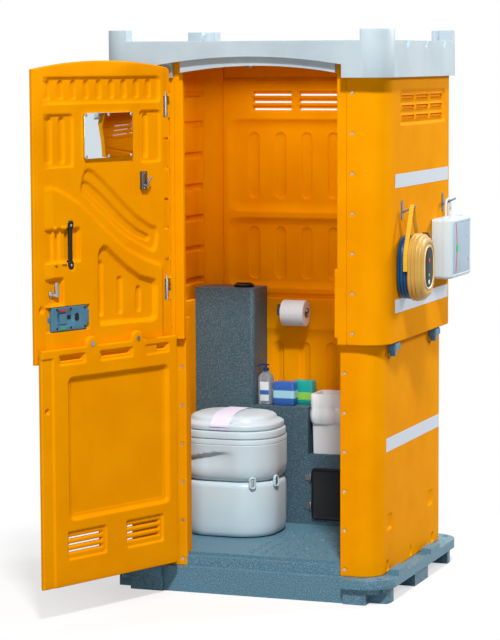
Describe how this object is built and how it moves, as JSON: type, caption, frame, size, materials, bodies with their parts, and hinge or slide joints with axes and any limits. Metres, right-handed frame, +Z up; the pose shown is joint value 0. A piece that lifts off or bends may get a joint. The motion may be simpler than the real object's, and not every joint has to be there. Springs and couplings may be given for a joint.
{
  "type": "portable toilet cabin",
  "caption": "Free-standing moulded toilet cabin: an upper section slides down over the lower one, with a two-part door, roof, pallet base and fitted toilet.",
  "frame": {"origin": "centre of the base's underside, on the ground", "axes": "+X to the right seen from the front, +Y to the back, +Z up; the doorway is at -Y"},
  "size_m": [1.233, 1.6901, 2.165],
  "materials": {
    "orange_shell": "moulded polyethylene, fine satin grain",
    "grey_speckle": "moulded polyethylene with a fine light speckle",
    "roof_white": "milky translucent moulded polyethylene",
    "white_plastic": "glossy moulded plastic",
    "black_plastic": "satin black",
    "dark_grey_plastic": "satin",
    "steel": "brushed",
    "screw_steel": "passivated",
    "mirror": "polished",
    "strip": "reflective film",
    "paper": "soft tissue",
    "band_paper": "thin printed paper left plain",
    "clear_gel": "clear bottle",
    "blue_plastic": "glossy",
    "pack_blue": "film pack",
    "pack_teal": "film pack",
    "liner": "thin film",
    "bag_yellow": "woven webbing",
    "bag_blue": "satin",
    "bag_tan": "soft touch"
  },
  "bodies": {
    "base_section": {"base_pallet": "grey_speckle", "lower_wall_right": "orange_shell", "lower_wall_left": "orange_shell", "lower_wall_back": "orange_shell", "lower_posts": "orange_shell", "lower_screws": "screw_steel", "guide_pads": "orange_shell", "lower_strips": "strip", "lower_door_hinges": "steel", "console": "grey_speckle", "access_hinges": "steel", "flush_tank": "grey_speckle", "waste_tank": "white_plastic", "roll_holder": "black_plastic", "sanitiser_bottle": "clear_gel", "wipes_box": "pack_blue", "wipes_tub": "pack_teal"},
    "upper_section": {"upper_wall_right": "orange_shell", "upper_wall_left": "orange_shell", "upper_wall_back": "orange_shell", "upper_jamb_right": "orange_shell", "upper_jamb_left": "orange_shell", "upper_screws": "screw_steel", "roof": "roof_white", "upper_strips": "strip", "upper_door_hinges": "steel", "latch_pins": "steel", "kit_hooks": "steel"},
    "upper_leaf": {"upper_door": "orange_shell", "door_mirror": "mirror", "door_screws": "steel", "coat_hook": "steel", "pull_handle": "black_plastic", "lever_plate": "steel", "lock_housing": "dark_grey_plastic"},
    "lower_leaf": {"lower_door": "orange_shell", "ear_bolts": "steel"},
    "lever": {"latch_lever": "steel"},
    "lock_bolt": {"lock_slider": "dark_grey_plastic"},
    "latch_front_right": {"latch_front_right": "dark_grey_plastic"},
    "latch_rear_right": {"latch_rear_right": "dark_grey_plastic"},
    "latch_front_left": {"latch_front_left": "dark_grey_plastic"},
    "latch_rear_left": {"latch_rear_left": "dark_grey_plastic"},
    "bowl_section": {"bowl_unit": "white_plastic", "toilet_seat": "white_plastic"},
    "lid": {"toilet_lid": "white_plastic", "paper_band": "band_paper"},
    "clip_front": {"clip_front": "white_plastic"},
    "clip_side": {"clip_side": "white_plastic"},
    "hatch": {"access_door": "black_plastic"},
    "cap": {"tank_cap": "black_plastic"},
    "bin": {"waste_bin": "white_plastic", "bin_liner": "liner"},
    "pump": {"sanitiser_pump": "blue_plastic"},
    "roll": {"toilet_roll": "paper"},
    "first_aid": {"first_aid_case": "white_plastic"},
    "first_aid_cover": {"first_aid_lid": "white_plastic"},
    "kit_bag": {"kit_bag_back": "bag_blue", "kit_bag_front": "bag_tan", "kit_bag_strap": "bag_yellow"}
  },
  "joints": [
    {"name": "upper_lift", "type": "slide", "parent": "base_section", "child": "upper_section", "axis": [0, 0, 1], "range_m": [-0.65, 0]},
    {"name": "upper_door_hinge", "type": "hinge", "parent": "upper_section", "child": "upper_leaf", "pos_m": [-0.308, -0.516, 1.5], "axis": [0, 0, 1], "range_deg": [-18.5, 111.5]},
    {"name": "lower_door_hinge", "type": "hinge", "parent": "base_section", "child": "lower_leaf", "pos_m": [-0.308, -0.516, 0.2], "axis": [0, 0, 1], "range_deg": [-18.5, 111.5]},
    {"name": "lever_turn", "type": "hinge", "parent": "upper_leaf", "child": "lever", "pos_m": [-0.52666, -1.09838, 1.207], "axis": [0.9304, -0.3665, 0], "range_deg": [0, 40], "stiffness_Nm_per_rad": 0.3, "springref_deg": -20.05},
    {"name": "lock_slide", "type": "slide", "parent": "upper_leaf", "child": "lock_bolt", "axis": [-0.3665, -0.9304, 0], "range_m": [0, 0.025]},
    {"name": "bowl_lift", "type": "slide", "parent": "base_section", "child": "bowl_section", "axis": [0, 0, 1], "range_m": [0, 0.06]},
    {"name": "lid_hinge", "type": "hinge", "parent": "bowl_section", "child": "lid", "pos_m": [-0.245, 0.205, 0.579], "axis": [-1, 0, 0], "range_deg": [0, 76]},
    {"name": "clip_front_hinge", "type": "hinge", "parent": "bowl_section", "child": "clip_front", "pos_m": [-0.10818, -0.11694, 0.394], "axis": [-0.848, -0.5299, 0], "range_deg": [0, 80]},
    {"name": "clip_side_hinge", "type": "hinge", "parent": "bowl_section", "child": "clip_side", "pos_m": [-0.04019, -0.02335, 0.394], "axis": [-0.2419, -0.9703, 0], "range_deg": [0, 80]},
    {"name": "hatch_hinge", "type": "hinge", "parent": "base_section", "child": "hatch", "pos_m": [0.006, 0.258, 0.28], "axis": [0, 0, -1], "range_deg": [0, 90]},
    {"name": "cap_turn", "type": "hinge", "parent": "base_section", "child": "cap", "pos_m": [-0.313, 0.3475, 1.12], "axis": [0, 0, 1], "continuous": true},
    {"name": "bin_lift", "type": "slide", "parent": "base_section", "child": "bin", "axis": [0, 0, 1], "range_m": [0, 0.15]},
    {"name": "pump_press", "type": "slide", "parent": "base_section", "child": "pump", "axis": [0, 0, -1], "range_m": [0, 0.012], "stiffness_N_per_m": 300, "springref_m": -0.004},
    {"name": "roll_turn", "type": "hinge", "parent": "base_section", "child": "roll", "pos_m": [-0.098, 0.372, 1.01], "axis": [1, 0, 0], "continuous": true},
    {"name": "case_lift_off", "type": "slide", "parent": "upper_section", "child": "first_aid", "axis": [0.9063, 0, 0.4226], "range_m": [0, 0.065]},
    {"name": "case_lid_hinge", "type": "hinge", "parent": "first_aid", "child": "first_aid_cover", "pos_m": [0.60185, 0.2725, 1.191], "axis": [0, 1, 0], "range_deg": [0, 90]},
    {"name": "bag_lift_off", "type": "slide", "parent": "upper_section", "child": "kit_bag", "axis": [0.9063, 0, 0.4226], "range_m": [0, 0.065]},
    {"name": "latch_front_right_swing", "type": "hinge", "parent": "upper_section", "child": "latch_front_right", "pos_m": [0.5425, -0.302, 1], "axis": [0, -1, 0], "range_deg": [0, 75]},
    {"name": "latch_rear_right_swing", "type": "hinge", "parent": "upper_section", "child": "latch_rear_right", "pos_m": [0.5425, 0.25, 1], "axis": [0, -1, 0], "range_deg": [0, 75]},
    {"name": "latch_front_left_swing", "type": "hinge", "parent": "upper_section", "child": "latch_front_left", "pos_m": [-0.5425, -0.302, 1], "axis": [0, 1, 0], "range_deg": [0, 75]},
    {"name": "latch_rear_left_swing", "type": "hinge", "parent": "upper_section", "child": "latch_rear_left", "pos_m": [-0.5425, 0.25, 1], "axis": [0, 1, 0], "range_deg": [0, 75]}
  ],
  "couplings": [
    {"joint": "lower_door_hinge", "follows": "upper_door_hinge", "ratio": 1}
  ]
}
